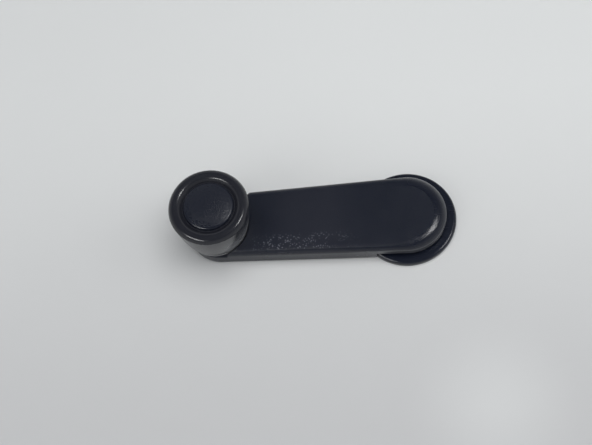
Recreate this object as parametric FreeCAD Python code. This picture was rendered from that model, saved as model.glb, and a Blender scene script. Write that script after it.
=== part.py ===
"""Car window winder handle.

The spindle axis is Z, the door trim is the plane z = 0, and the arm points along -X.
"""
import FreeCAD, Part
import math
import os

V = FreeCAD.Vector
X_AXIS = V(1, 0, 0)
Z_AXIS = V(0, 0, 1)

# Crank arm, seen from above: two circles joined by tangent lines
throw_length = 90.0
hub_radius = 18.55
tip_radius = 15.6
tip_circle_offset = 2.5
deck_top = 10.4
edge_rounding = 3.0
wall_draft_width = 0.1
wall_thickness = 2.2
deck_thickness = 2.2
wall_foot = 1.2
overrun = 1.0

# Lowered seat for the knob at the arm's tip, and the deck's end beside it
seat_top = 6.4
seat_thickness = 1.8
deck_end_setback = 10.4
deck_end_angle = 18.0
scallop_gap = 0.7
deck_end_rounding = 2.0

# Ribs under the deck
rib_thickness = 1.5
rib_foot = 4.0
rib_pitch = 13.0
cross_rib_count = 4

# Hub boss, steel socket and the slots for the spring clip
boss_radius = 10.0
insert_flats = 15.0
insert_wall_over = 0.8
lead_radius = 5.1
lead_length = 2.4
serration_root_radius = 5.05
serration_crest_radius = 4.55
serration_count = 18
serration_root_share = 0.18
serration_crest_share = 0.12

# Spring clip
clip_wire = 1.5
clip_leg_offset = 4.95
clip_leg_reach = 9.4
clip_bight_center = 8.4
clip_slot_play = 0.15
clip_floor_gap = 0.2

# Escutcheon
plate_radius = 23.1
plate_height = 3.0
plate_edge_rounding = 1.5
plate_wall = 1.3
plate_bore_play = 0.3
plate_lip_width = 1.6
plate_rim_width = 2.0
skirt_gap = 1.9
skirt_relief_play = 0.5

# Knob pin, riveted through the seat
pin_radius = 3.0
pin_tail_radius = 2.4
pin_head_room = 5.0
pin_tip_chamfer = 0.4
tail_head_radius = 3.2
tail_head_height = 0.9
rivet_washer_radius = 5.4
rivet_washer_thickness = 0.5

# Knob body, a body of revolution about the pin
knob_foot_radius = 14.9
knob_foot_rounding = 0.5
knob_foot_gap = 0.3
knob_belly_inset = 1.45
knob_belly_height = 18.0
knob_shoulder_inset = 0.35
knob_shoulder_drop = 0.5
rim_height = 30.0
rim_section_radius = 3.0
rim_edge_rise = 0.6
valley_inset = 3.1
valley_rise = 1.0
knob_wall = 2.0
knob_floor = 2.4
knob_hub_wall = 2.2
knob_web_thickness = 1.4
knob_web_count = 6

# Cap in the knob's head
cap_groove_width = 0.7
cap_dome_height = 2.2
cap_rim_height = 1.2
cap_edge_rounding = 0.7
cap_overhang_width = 1.3
cap_skirt_wall = 1.2
cap_skirt_depth = 4.5
cap_plate_thickness = 1.6
cap_seat_play = 0.15
cap_slot_count = 4
cap_slot_width = 3.0

# Bush and the small rings on the pin
bush_radius = 5.0
bush_flange_radius = 6.6
bush_flange_height = 1.0
bush_play = 0.05
thrust_washer_radius = 8.2
thrust_washer_thickness = 0.6
ring_play = 0.1
wave_washer_radius = 5.0
wave_washer_thickness = 0.3
wave_height = 0.35
wave_count = 3
push_nut_radius = 5.2
push_nut_thickness = 0.45
push_nut_dish = 0.6
push_nut_tooth_count = 6
push_nut_slot_width = 0.9
push_nut_slot_depth = 1.3

half_share = 0.5
tolerance = overrun / 10
tip_center = V(-throw_length, 0, 0)

# Sizes that follow from others: the head is as wide as the hub, the cap fills the head's pocket,
# and the pin ends below the cap
rim_radius = hub_radius
knob_belly_radius = rim_radius - knob_belly_inset
rim_edge_height = rim_height + rim_edge_rise
knob_shoulder_radius = rim_radius - knob_shoulder_inset
knob_shoulder_height = rim_edge_height - knob_shoulder_drop
valley_radius = rim_radius - rim_section_radius - valley_inset
valley_height = rim_height + valley_rise
cap_radius = valley_radius - cap_groove_width
cap_skirt_radius = cap_radius - cap_overhang_width
pin_top = valley_height - pin_head_room

# The scallop in the deck's end clears the knob's neck at the deck's height
neck_foot_height = seat_top + knob_foot_gap + knob_foot_rounding
neck_share = (deck_top - neck_foot_height) / (knob_belly_height - neck_foot_height)
neck_radius = knob_foot_radius + neck_share * (knob_belly_radius - knob_foot_radius)
scallop_radius = neck_radius + scallop_gap


def at(z, x=0.0, y=0.0):
    return V(x, y, z)


def cylinder(radius, low, high, center=V(0, 0, 0)):
    return Part.makeCylinder(radius, high - low, center + at(low), Z_AXIS)


def block(x_low, x_high, y_low, y_high, z_low, z_high):
    corner = V(x_low, y_low, z_low)
    return Part.makeBox(x_high - x_low, y_high - y_low, z_high - z_low, corner)


def turned(wire, center=V(0, 0, 0)):
    """Revolve a closed profile drawn in the XZ plane about the Z axis through center."""
    solid = Part.Face(wire).revolve(V(0, 0, 0), Z_AXIS, 360)
    if solid.Volume < 0:
        solid.reverse()
    solid.translate(center)
    return Part.Solid(solid.Shells[0])


def line(start, end):
    return Part.LineSegment(start, end).toShape()


def arc(start, middle, end):
    return Part.Arc(start, middle, end).toShape()


def rz(radius, height):
    return V(radius, 0, height)


def profile(points):
    return Part.makePolygon([rz(r, z) for r, z in points + points[:1]])


def quarter_middle(center_r, center_z, radius, degrees):
    angle = math.radians(degrees)
    return rz(center_r + radius * math.cos(angle), center_z + radius * math.sin(angle))


def arm_outline(hub, tip, z):
    """Closed outline of the arm at height z, from its two end radii."""
    span = throw_length - tip_circle_offset
    slope = (hub - tip) / span
    side = math.sqrt(1 - slope * slope)
    hub_far = V(hub * slope, hub * side, z)
    hub_near = V(hub * slope, -hub * side, z)
    tip_far = V(tip * slope - span, tip * side, z)
    tip_near = V(tip * slope - span, -tip * side, z)
    edges = [arc(hub_far, V(hub, 0, z), hub_near), line(hub_near, tip_near),
             arc(tip_near, V(-tip - span, 0, z), tip_far), line(tip_far, hub_far)]
    return Part.Wire(edges)


def arm_block(inset, low, high):
    """Drafted solid of the arm's outline, wider at its foot."""
    foot_share = (deck_top - low) / (deck_top - wall_foot)
    head_share = (deck_top - high) / (deck_top - wall_foot)
    low_inset = inset - wall_draft_width * foot_share
    high_inset = inset - wall_draft_width * head_share
    foot = arm_outline(hub_radius - low_inset, tip_radius - low_inset, low)
    head = arm_outline(hub_radius - high_inset, tip_radius - high_inset, high)
    return Part.makeLoft([foot, head], True, True)


def top_edges(shape, z):
    return [e for e in shape.Edges if abs(e.BoundBox.ZMin - z) < tolerance
            and abs(e.BoundBox.ZMax - z) < tolerance]


def prism(sides, across_flats, low, high):
    """Regular prism about the spindle axis."""
    radius = across_flats / 2 / math.cos(math.pi / sides)
    step = 2 * math.pi / sides
    points = [V(radius * math.cos(step * (i + 0.5)), radius * math.sin(step * (i + 0.5)), low)
              for i in range(sides + 1)]
    return Part.Face(Part.makePolygon(points)).extrude(at(high - low))


def slot_height():
    low = plate_height + clip_floor_gap - clip_slot_play
    return low, low + clip_wire + 2 * clip_slot_play


def clip_slots():
    """The two slots that the legs of the spring clip pass through."""
    low, high = slot_height()
    half = clip_wire / 2 + clip_slot_play
    reach = boss_radius + overrun
    slots = [block(-reach, reach, side * clip_leg_offset - half, side * clip_leg_offset + half, low, high)
             for side in (-1, 1)]
    return slots[0].fuse(slots[1])


def deck_end():
    return -throw_length + deck_end_setback


def knob_step(wall, low, high):
    """Space over the knob's seat: everything beyond the deck's end, and a scallop for the foot."""
    end = block(-2 * throw_length, deck_end() + wall, -throw_length, throw_length, low, high)
    end.rotate(V(deck_end(), 0, 0), Z_AXIS, -deck_end_angle)
    return end.fuse(cylinder(scallop_radius + wall, low, high, tip_center))


def on_deck_end(edge):
    """Whether an edge above the seat lies on the far half of the upright plane where the deck ends."""
    skew = math.radians(deck_end_angle)
    across = V(math.cos(skew), -math.sin(skew), 0)
    middle = edge.valueAt((edge.FirstParameter + edge.LastParameter) / 2)
    places = [vertex.Point for vertex in edge.Vertexes] + [middle]
    flat = all(abs((place - V(deck_end(), 0, 0)).dot(across)) < tolerance for place in places)
    return flat and edge.BoundBox.ZMax > seat_top + tolerance and edge.BoundBox.YMin > 0


def insert_top():
    return deck_top - deck_thickness + insert_wall_over


def make_arm():
    """Hollow moulding: rounded deck and walls, cross ribs, hub boss and lowered knob seat."""
    skin = arm_block(0.0, wall_foot, deck_top)
    skin = skin.makeFillet(edge_rounding, top_edges(skin, deck_top))
    skin = skin.cut(knob_step(0.0, seat_top, deck_top + overrun))
    skin = skin.makeFillet(deck_end_rounding, [e for e in skin.Edges if on_deck_end(e)])
    hollow = arm_block(wall_thickness, wall_foot - overrun, deck_top - deck_thickness)
    hollow = hollow.cut(knob_step(wall_thickness, seat_top - seat_thickness, deck_top + overrun))
    body = skin.cut(hollow)

    skirt_foot = plate_height + skirt_gap
    relief = cylinder(plate_radius + skirt_relief_play, wall_foot - overrun, skirt_foot)
    body = body.cut(relief)

    inner = arm_block(wall_thickness / 2, wall_foot, deck_top - deck_thickness / 2)
    inner = inner.cut(knob_step(wall_thickness / 2, seat_top, deck_top))
    ribs = [block(deck_end(), -boss_radius / 2, -rib_thickness / 2, rib_thickness / 2,
                  rib_foot, deck_top)]
    for i in range(cross_rib_count):
        x = deck_end() + rib_pitch * (i + 1)
        ribs.append(block(x - rib_thickness / 2, x + rib_thickness / 2, -hub_radius, hub_radius,
                          rib_foot, deck_top))
    rib_relief = cylinder(plate_radius + skirt_relief_play, rib_foot - overrun, skirt_foot)
    for rib in ribs:
        body = body.fuse(rib.common(inner).cut(rib_relief))
    body = body.fuse(cylinder(boss_radius, 0.0, deck_top - deck_thickness / 2))

    body = body.cut(prism(8, insert_flats, -overrun, insert_top()))
    body = body.cut(clip_slots())
    body = body.cut(cylinder(pin_tail_radius, -overrun, seat_top + overrun, tip_center))
    return body.removeSplitter()


def serration_face(z):
    """Star outline of the socket: straight flanks between root and crest flats."""
    points = []
    pitch = 2 * math.pi / serration_count
    for i in range(serration_count):
        for radius, share in ((serration_root_radius, -serration_root_share),
                              (serration_root_radius, serration_root_share),
                              (serration_crest_radius, half_share - serration_crest_share),
                              (serration_crest_radius, half_share + serration_crest_share)):
            angle = pitch * (i + share)
            points.append(V(radius * math.cos(angle), radius * math.sin(angle), z))
    return Part.Face(Part.makePolygon(points + points[:1]))


def make_insert():
    """Steel socket: plain lead-in, then serrations, with the clip's slots through its wall."""
    top = insert_top()
    body = prism(8, insert_flats, 0.0, top)
    body = body.cut(cylinder(lead_radius, -overrun, lead_length))
    teeth = serration_face(lead_length - tolerance)
    body = body.cut(teeth.extrude(at(top - insert_wall_over - lead_length)))
    body = body.cut(clip_slots())
    return body


def make_clip():
    """Hairpin of round spring wire: two legs and a half-round bight."""
    z = plate_height + clip_floor_gap + clip_wire / 2
    near = -clip_leg_offset
    far = clip_leg_offset
    bight = clip_bight_center
    path = Part.Wire([line(V(-clip_leg_reach, far, z), V(bight, far, z)),
                      arc(V(bight, far, z), V(bight + far, 0, z), V(bight, near, z)),
                      line(V(bight, near, z), V(-clip_leg_reach, near, z))])
    section = Part.Wire(Part.makeCircle(clip_wire / 2, V(-clip_leg_reach, far, z), X_AXIS))
    return path.makePipeShell([section], True, False)


def make_escutcheon():
    """Round plate: rounded edge, dished underside, lip round the boss."""
    r = plate_radius
    e = plate_edge_rounding
    h = plate_height
    bore = boss_radius + plate_bore_play
    edges = [line(rz(bore, 0), rz(bore, h)), line(rz(bore, h), rz(r - e, h)),
             arc(rz(r - e, h), quarter_middle(r - e, h - e, e, 45), rz(r, h - e)),
             line(rz(r, h - e), rz(r, 0)), line(rz(r, 0), rz(bore, 0))]
    body = turned(Part.Wire(edges))
    channel = cylinder(r - plate_rim_width, -overrun, h - plate_wall)
    channel = channel.cut(cylinder(bore + plate_lip_width, -overrun, h))
    return body.cut(channel)


def crest(degrees):
    """Point on the round crest of the knob's rim."""
    return quarter_middle(rim_radius - rim_section_radius, rim_height, rim_section_radius, degrees)


def make_knob_shell():
    """Knob body: neck swelling up to a crisp edge, round rim, pocket for the cap, hub and webs inside."""
    foot_low = seat_top + knob_foot_gap
    foot = knob_foot_radius
    rounding = knob_foot_rounding
    neck_foot = rz(foot, neck_foot_height)
    shoulder = rz(knob_shoulder_radius, knob_shoulder_height)
    valley = rz(valley_radius, valley_height)
    edges = [line(rz(0, foot_low), rz(foot - rounding, foot_low)),
             arc(rz(foot - rounding, foot_low),
                 quarter_middle(foot - rounding, neck_foot_height, rounding, -45), neck_foot),
             arc(neck_foot, rz(knob_belly_radius, knob_belly_height), shoulder),
             line(shoulder, rz(rim_radius, rim_edge_height)),
             line(rz(rim_radius, rim_edge_height), crest(38)),
             arc(crest(38), crest(80), crest(120)),
             line(crest(120), valley),
             line(valley, rz(0, valley_height)),
             line(rz(0, valley_height), rz(0, foot_low))]
    body = turned(Part.Wire(edges), tip_center)

    floor_top = foot_low + knob_floor
    pocket_foot = valley_height - cap_skirt_depth - cap_seat_play
    inside = [(0, floor_top), (foot - knob_wall, floor_top),
              (knob_belly_radius - knob_wall, knob_belly_height),
              (cap_skirt_radius + cap_seat_play, pocket_foot),
              (cap_skirt_radius + cap_seat_play, valley_height + overrun), (0, valley_height + overrun)]
    hollow = turned(profile(inside), tip_center)
    hub = cylinder(bush_radius + knob_hub_wall, foot_low, bush_top(), tip_center)
    webs = []
    web_reach = knob_belly_radius - knob_wall / 2
    for i in range(knob_web_count):
        web = block(0.0, web_reach, -knob_web_thickness / 2, knob_web_thickness / 2,
                    floor_top - knob_floor / 2, knob_belly_height)
        web.rotate(V(0, 0, 0), Z_AXIS, 360 / knob_web_count * i)
        web.translate(tip_center)
        webs.append(web)
    keep = hub.fuse(webs)
    body = body.cut(hollow.cut(keep))
    body = body.cut(cylinder(bush_radius, foot_low - overrun, pin_top + overrun, tip_center))
    recess = bush_flange_radius + ring_play
    washer_recess = thrust_washer_radius + ring_play
    body = body.cut(cylinder(recess, foot_low - overrun, flange_top(), tip_center))
    body = body.cut(cylinder(washer_recess, foot_low - overrun, washer_top() + ring_play, tip_center))
    return body


def washer_top():
    return seat_top + thrust_washer_thickness


def flange_top():
    return washer_top() + ring_play + bush_flange_height


def bush_top():
    washer_room = 2 * wave_height + wave_washer_thickness + 2 * ring_play
    return pin_top - push_nut_dish - push_nut_thickness - washer_room


def make_knob_bush():
    """Flanged bush that the knob turns on."""
    body = cylinder(bush_radius, washer_top() + ring_play, bush_top(), tip_center)
    body = body.fuse(cylinder(bush_flange_radius, washer_top() + ring_play, flange_top(), tip_center))
    return body.cut(cylinder(pin_radius + bush_play, seat_top, pin_top, tip_center)).removeSplitter()


def make_knob_pin():
    """Shouldered steel pin: riveted tail below the seat, plain shank with a chamfered tip."""
    c = pin_tip_chamfer
    washer_low = seat_top - seat_thickness - rivet_washer_thickness
    head_low = washer_low - tail_head_height
    head_flat = tail_head_radius - tail_head_height
    shoulder = seat_top
    edges = [line(rz(0, head_low), rz(head_flat, head_low)),
             arc(rz(head_flat, head_low), quarter_middle(head_flat, washer_low, tail_head_height, -45),
                 rz(tail_head_radius, washer_low)),
             line(rz(tail_head_radius, washer_low), rz(pin_tail_radius, washer_low)),
             line(rz(pin_tail_radius, washer_low), rz(pin_tail_radius, shoulder)),
             line(rz(pin_tail_radius, shoulder), rz(pin_radius, shoulder)),
             line(rz(pin_radius, shoulder), rz(pin_radius, pin_top - c)),
             line(rz(pin_radius, pin_top - c), rz(pin_radius - c, pin_top)),
             line(rz(pin_radius - c, pin_top), rz(0, pin_top)),
             line(rz(0, pin_top), rz(0, head_low))]
    return turned(Part.Wire(edges), tip_center)


def ring(outer, inner, low, high):
    hole = cylinder(inner, low - overrun, high + overrun, tip_center)
    return cylinder(outer, low, high, tip_center).cut(hole)


def make_thrust_washer():
    return ring(thrust_washer_radius, pin_radius + ring_play, seat_top, washer_top())


def make_rivet_washer():
    high = seat_top - seat_thickness
    return ring(rivet_washer_radius, pin_tail_radius, high - rivet_washer_thickness, high)


def make_wave_washer():
    """Thin ring with waves round it, pressed between bush and push nut."""
    low = bush_top() + ring_play + wave_height
    steps = 4 * wave_count
    curves = []
    for radius in (pin_radius + ring_play, wave_washer_radius):
        points = []
        for i in range(steps):
            angle = 2 * math.pi * i / steps
            lift = wave_height * math.sin(wave_count * angle)
            points.append(V(radius * math.cos(angle), radius * math.sin(angle), low + lift))
        curve = Part.BSplineCurve()
        curve.interpolate(points, PeriodicFlag=True)
        curves.append(curve.toShape())
    face = Part.makeRuledSurface(curves[0], curves[1])
    solid = face.extrude(at(wave_washer_thickness))
    solid.translate(tip_center)
    return solid


def make_push_nut():
    """Dished retaining ring whose teeth bite on the pin."""
    foot = pin_top - push_nut_dish - push_nut_thickness
    flat = (push_nut_radius + pin_radius + push_nut_slot_depth) / 2
    points = [(flat, foot), (push_nut_radius, foot), (push_nut_radius, foot + push_nut_thickness),
              (flat, foot + push_nut_thickness), (pin_radius, foot + push_nut_thickness + push_nut_dish / 2),
              (pin_radius, foot + push_nut_dish / 2)]
    body = turned(profile(points), tip_center)
    for i in range(push_nut_tooth_count):
        slot = block(0.0, pin_radius + push_nut_slot_depth, -push_nut_slot_width / 2,
                     push_nut_slot_width / 2, foot - overrun, pin_top + overrun)
        slot.rotate(V(0, 0, 0), Z_AXIS, 360 / push_nut_tooth_count * i)
        slot.translate(tip_center)
        body = body.cut(slot)
    return body


def make_knob_cap():
    """Domed cap with a slotted snap skirt."""
    edge = cap_edge_rounding
    base = valley_height
    shoulder = base + cap_rim_height
    crown = shoulder + cap_dome_height
    skirt_foot = base - cap_skirt_depth
    chord = cap_radius - edge
    dome_radius = (chord * chord + cap_dome_height * cap_dome_height) / 2 / cap_dome_height
    half = chord / 2
    sag = dome_radius - math.sqrt(dome_radius * dome_radius - half * half)
    edges = [line(rz(0, base - cap_plate_thickness + cap_rim_height), rz(0, crown)),
             arc(rz(0, crown), rz(half, crown - sag), rz(chord, shoulder)),
             arc(rz(chord, shoulder), quarter_middle(chord, shoulder - edge, edge, 40),
                 rz(cap_radius, shoulder - edge)),
             line(rz(cap_radius, shoulder - edge), rz(cap_radius, base)),
             line(rz(cap_radius, base), rz(cap_skirt_radius, base)),
             line(rz(cap_skirt_radius, base), rz(cap_skirt_radius, skirt_foot)),
             line(rz(cap_skirt_radius, skirt_foot), rz(cap_skirt_radius - cap_skirt_wall, skirt_foot)),
             line(rz(cap_skirt_radius - cap_skirt_wall, skirt_foot),
                  rz(cap_skirt_radius - cap_skirt_wall, base - cap_plate_thickness + cap_rim_height)),
             line(rz(cap_skirt_radius - cap_skirt_wall, base - cap_plate_thickness + cap_rim_height),
                  rz(0, base - cap_plate_thickness + cap_rim_height))]
    body = turned(Part.Wire(edges), tip_center)
    for i in range(cap_slot_count):
        slot = block(0.0, cap_skirt_radius + overrun, -cap_slot_width / 2, cap_slot_width / 2,
                     skirt_foot - overrun, base - cap_plate_thickness)
        slot.rotate(V(0, 0, 0), Z_AXIS, 360 / cap_slot_count * i)
        slot.translate(tip_center)
        body = body.cut(slot)
    return body


PARTS = {
    "arm": make_arm,
    "spline_insert": make_insert,
    "retaining_clip": make_clip,
    "escutcheon": make_escutcheon,
    "knob_shell": make_knob_shell,
    "knob_cap": make_knob_cap,
    "knob_bush": make_knob_bush,
    "knob_pin": make_knob_pin,
    "thrust_washer": make_thrust_washer,
    "rivet_washer": make_rivet_washer,
    "wave_washer": make_wave_washer,
    "push_nut": make_push_nut,
}

os.makedirs("parts", exist_ok=True)
for name, make in PARTS.items():
    shape = make()
    shape.exportStep("parts/" + name + ".step")
    print(name, "valid", shape.isValid(), "solids", len(shape.Solids), "volume", round(shape.Volume, 1))
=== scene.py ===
# %% [markdown]
# # A car's window winder handle
# The handle is a crank. Its hub sits on the window regulator's spindle, a hollow moulded arm
# reaches out from it, and a knob turns on a pin at the arm's end. A flat round escutcheon lies
# between the hub and the door trim. Everything is dark navy-black plastic, so the picture is
# made by gloss: how each edge is rounded, and what it mirrors.
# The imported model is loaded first. It is a fixed frame: pieces are fitted to it and it never moves.

import math

import bmesh
import bpy
from mathutils import Matrix, Vector


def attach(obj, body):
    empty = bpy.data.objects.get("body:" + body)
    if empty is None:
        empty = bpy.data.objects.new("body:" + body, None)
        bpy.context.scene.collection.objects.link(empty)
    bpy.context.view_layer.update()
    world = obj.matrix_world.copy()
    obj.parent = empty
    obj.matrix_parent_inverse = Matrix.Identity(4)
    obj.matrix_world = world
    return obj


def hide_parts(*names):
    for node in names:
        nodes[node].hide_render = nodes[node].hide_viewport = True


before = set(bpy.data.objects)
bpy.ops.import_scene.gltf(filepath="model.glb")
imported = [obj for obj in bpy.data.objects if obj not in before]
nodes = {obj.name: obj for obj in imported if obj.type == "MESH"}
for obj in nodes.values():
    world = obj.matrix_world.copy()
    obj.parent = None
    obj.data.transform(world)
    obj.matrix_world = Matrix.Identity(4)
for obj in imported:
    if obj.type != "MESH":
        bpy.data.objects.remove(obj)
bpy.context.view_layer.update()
MM = 0.001
print("nodes", sorted(nodes))

# %% [markdown]
# ## The camera
# The photograph was taken from above, a little from the knob's side, with a long lens. A camera
# could be aimed with a Track To constraint or with Euler angles. Here it is placed from four
# things that mean something on the bench: the point it looks at, its tilt from straight down, its
# turn about the vertical, and its roll. Its three axes are worked out from these.

# %% Camera
VIEW_TARGET = Vector((-0.0526, 0.00248, 0.0))
VIEW_TILT = math.radians(23.05)
VIEW_TURN = math.radians(10.4)
VIEW_ROLL = math.radians(-13.3)
VIEW_DISTANCE = 0.6188
PICTURE_WIDTH = 592
FOCAL_PIXELS = 1300.0
SENSOR_WIDTH = 36.0

back = Vector((math.sin(VIEW_TURN) * math.sin(VIEW_TILT),
               -math.cos(VIEW_TURN) * math.sin(VIEW_TILT), math.cos(VIEW_TILT)))
level = (-back).cross(Vector((0, 0, 1))).normalized()
upright = back.cross(level)
right = math.cos(VIEW_ROLL) * level + math.sin(VIEW_ROLL) * upright
up = math.cos(VIEW_ROLL) * upright - math.sin(VIEW_ROLL) * level

camera_data = bpy.data.cameras.new("camera")
camera_data.sensor_width = SENSOR_WIDTH
camera_data.lens = FOCAL_PIXELS / PICTURE_WIDTH * SENSOR_WIDTH
camera_data.clip_start = 10 * MM
camera = bpy.data.objects.new("camera", camera_data)
stand = Matrix((right, up, back)).transposed().to_4x4()
stand.translation = VIEW_TARGET + back * VIEW_DISTANCE
camera.matrix_world = stand

scene = bpy.context.scene
scene.collection.objects.link(camera)
scene.camera = camera
scene.view_settings.view_transform = "Standard"
print("lens", round(camera_data.lens, 2), "mm, camera", round(stand.translation.z, 3), "m up")

# %% [markdown]
# ## Wiring nodes in a script
# A material or a modifier is a small graph, which most people draw by hand in the node editor.
# Drawn in a script it can be read, changed and run again, if the wiring stays short. One helper
# adds a node and fills its inputs, where a value is a number and a socket is a wire. Others do
# arithmetic, split a vector and multiply masks, where a mask is a value from 0 to 1.

# %% Wiring helpers
def node(tree, kind, inputs=None, **settings):
    """Add a node: its settings first, then each input as a number or a wire."""
    made = tree.nodes.new(kind)
    for name, value in settings.items():
        setattr(made, name, value)
    for key, value in (inputs or {}).items():
        if isinstance(value, bpy.types.NodeSocket):
            tree.links.new(value, made.inputs[key])
        else:
            made.inputs[key].default_value = value
    return made


def calc(tree, operation, first, second=0.0, clamp=False):
    return node(tree, "ShaderNodeMath", {0: first, 1: second},
                operation=operation, use_clamp=clamp).outputs[0]


def product(tree, first, *others):
    """Masks multiplied together: the result is white only where all of them are."""
    for other in others:
        first = calc(tree, "MULTIPLY", first, other)
    return first


def split(tree, vector):
    """The X, Y and Z sockets of a vector."""
    return node(tree, "ShaderNodeSeparateXYZ", {0: vector}).outputs


# %% [markdown]
# ## Masks
# Wear, dirt and sheen never start at a hard line. So a mask fades smoothly between two values, and
# a band fades in and out again. A colour ramp could do the same, but its stops are hard to read in
# a script. Noise gives the unevenness, and two colours are blended by a mask.

# %% Mask helpers
def fade(tree, value, start, end, low=0.0, high=1.0):
    """Smooth step of a value: low at start, high at end."""
    ramp = node(tree, "ShaderNodeMapRange", {"Value": value, "From Min": start, "From Max": end,
                                             "To Min": low, "To Max": high},
                interpolation_type="SMOOTHSTEP")
    return ramp.outputs["Result"]


def band(tree, value, start, full_from, full_to, end):
    """A mask that rises from start, is white from full_from to full_to, and is gone at end."""
    return product(tree, fade(tree, value, start, full_from), fade(tree, value, end, full_to))


def blend_colour(tree, share, first, second):
    mix = node(tree, "ShaderNodeMix", {"Factor": share, 6: first, 7: second}, data_type="RGBA")
    return mix.outputs[2]


def noise(tree, place, scale, detail=2.0, roughness=0.5):
    return node(tree, "ShaderNodeTexNoise", {"Vector": place, "Scale": scale, "Detail": detail,
                                             "Roughness": roughness}).outputs["Fac"]


# %% [markdown]
# ## The table
# The table is white and a little uneven in tone. A backdrop could be a curved sheet, but a plain
# floor plane catches the shadow just as well and stays out of the way in other views.

# %% Table
FLOOR_HALF = 3.0

floor_mesh = bpy.data.meshes.new("table")
floor_mesh.from_pydata([(x * FLOOR_HALF, y * FLOOR_HALF, 0)
                        for x, y in ((-1, -1), (1, -1), (1, 1), (-1, 1))], [], [(0, 1, 2, 3)])
floor = bpy.data.objects.new("table", floor_mesh)
scene.collection.objects.link(floor)
print("table", 2 * FLOOR_HALF, "m square")

# %% [markdown]
# The photograph is palest away from the viewer, greyer towards the lower left, and has a soft patch
# of glare at the lower right. Lamps could paint this on a plain white floor, but they would light
# the handle unevenly too. So this light and shade is painted into the floor's colour as painted
# shade and a painted glare, and the light stays plain. A very faint mottle keeps it from looking
# like paper cut with a knife.

# %% Table paint
TABLE_NEAR = (0.60, 0.605, 0.61, 1)
TABLE_FAR = (0.80, 0.815, 0.81, 1)
GLARE_PLACE = (0.034, -0.092, 0.0)
GLARE_REACH = 45 * MM
GLARE_SHARE = 0.42
MOTTLE_SHARE = 0.05


def new_material(name, **settings):
    """A material with its shader, its Object coordinates and the constants set on the shader."""
    made = bpy.data.materials.new(name)
    made.use_nodes = True
    tree = made.node_tree
    shader = tree.nodes["Principled BSDF"]
    for key, value in settings.items():
        shader.inputs[key.replace("_", " ")].default_value = value
    place = node(tree, "ShaderNodeTexCoord").outputs["Object"]
    return made, tree, shader, place


table_paint, tree, shader, place = new_material("white_table", Roughness=0.55,
                                                Specular_IOR_Level=0.15)
across = split(tree, place)
# Painted shade and light: the floor's colour darkens towards the near side and the left, and a painted
# glare lightens it at the lower right.
far_share = fade(tree, across["Y"], -130 * MM, 90 * MM)
left_share = fade(tree, across["X"], -200 * MM, 20 * MM, 0.80, 1.0)
mottle = product(tree, noise(tree, place, 45.0, 3.0), MOTTLE_SHARE)
from_glare = node(tree, "ShaderNodeVectorMath", {0: place, 1: GLARE_PLACE}, operation="DISTANCE")
painted_glare = fade(tree, from_glare.outputs["Value"], GLARE_REACH, 0.0, 0.0, GLARE_SHARE)
share = calc(tree, "ADD", product(tree, far_share, left_share), mottle)
share = calc(tree, "ADD", share, painted_glare, clamp=True)
tree.links.new(blend_colour(tree, share, TABLE_NEAR, TABLE_FAR), shader.inputs["Base Color"])
floor_mesh.materials.append(table_paint)
print("table paint", len(tree.nodes), "nodes")

# %% [markdown]
# ## The room
# Glossy dark plastic shows the room more than its own colour. A photographed room could be wrapped
# round the scene, but two tones are enough here, and they are easier to tune. The room is a dome
# that is dim overhead, which keeps the deck deep navy, and paler towards the horizon, which lights
# the upright sides.

# %% Room
DOME_TOP = (0.065, 0.070, 0.080, 1)
DOME_EDGE = (0.50, 0.51, 0.52, 1)

world = bpy.data.worlds.new("room")
scene.world = world
world.use_nodes = True
tree = world.node_tree
height = split(tree, node(tree, "ShaderNodeTexCoord").outputs["Generated"])["Z"]
dome = blend_colour(tree, fade(tree, height, 0.15, 0.8), DOME_EDGE, DOME_TOP)
tree.links.new(dome, tree.nodes["Background"].inputs["Color"])
print("room from", DOME_EDGE[:3], "at the horizon to", DOME_TOP[:3], "overhead")

# %% [markdown]
# ## The lamps
# The real handle carries thin bright lines on its rounded edges, and soft shadows. One lamp can't
# give both: large enough for the shadows, it would lay a broad white smear on each edge. So the
# work is shared. Two strips are seen in the gloss alone and draw the lines. Three large soft panels
# give the light and the shadows, and are hidden from reflections, as a diffuser tent would be.

# %% Lamps
OBJECT_MIDDLE = (-0.05, 0.0, 0.0)


def area_lamp(name, place, size, power, mirrored):
    """A lamp aimed at the object: seen in its gloss alone, or in everything but its gloss."""
    data = bpy.data.lights.new(name, "AREA")
    data.shape = "RECTANGLE"
    data.size, data.size_y = size
    data.energy = power
    lamp = bpy.data.objects.new(name, data)
    lamp.location = place
    lamp.rotation_mode = "QUATERNION"
    lamp.rotation_quaternion = (Vector(OBJECT_MIDDLE) - Vector(place)).to_track_quat("-Z", "Y")
    lamp.visible_glossy = mirrored
    lamp.visible_diffuse = not mirrored
    scene.collection.objects.link(lamp)
    print(name, power, "W", "in the gloss" if mirrored else "in all but the gloss")


area_lamp("edge_lamp_left", (-0.9, -0.9, 1.1), (0.9, 0.16), 8.0, mirrored=True)
area_lamp("edge_lamp_right", (0.80, 0.0, 1.30), (0.34, 0.22), 5.5, mirrored=True)
area_lamp("ceiling_panel", (0.12, 0.05, 1.6), (1.5, 1.5), 18.5, mirrored=False)
area_lamp("right_panel", (1.2, 0.1, 0.9), (0.8, 0.8), 2.8, mirrored=False)
area_lamp("left_panel", (-1.1, -0.7, 1.0), (0.8, 0.8), 3.0, mirrored=False)

# %% [markdown]
# ## The moulded grain
# The mould that made the arm and the cap was etched, so their tops carry a fine leather-like
# grain. At half a millimetre a cell, it is too fine to model over the whole arm, so it is a bump.
# Two materials use it, so it is a group, built once: cells with soft edges, bent by noise so that
# no two are alike.

# %% Grain group
GRAIN_BEND = 0.9 * MM
PAD_EDGE = 0.28


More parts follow.
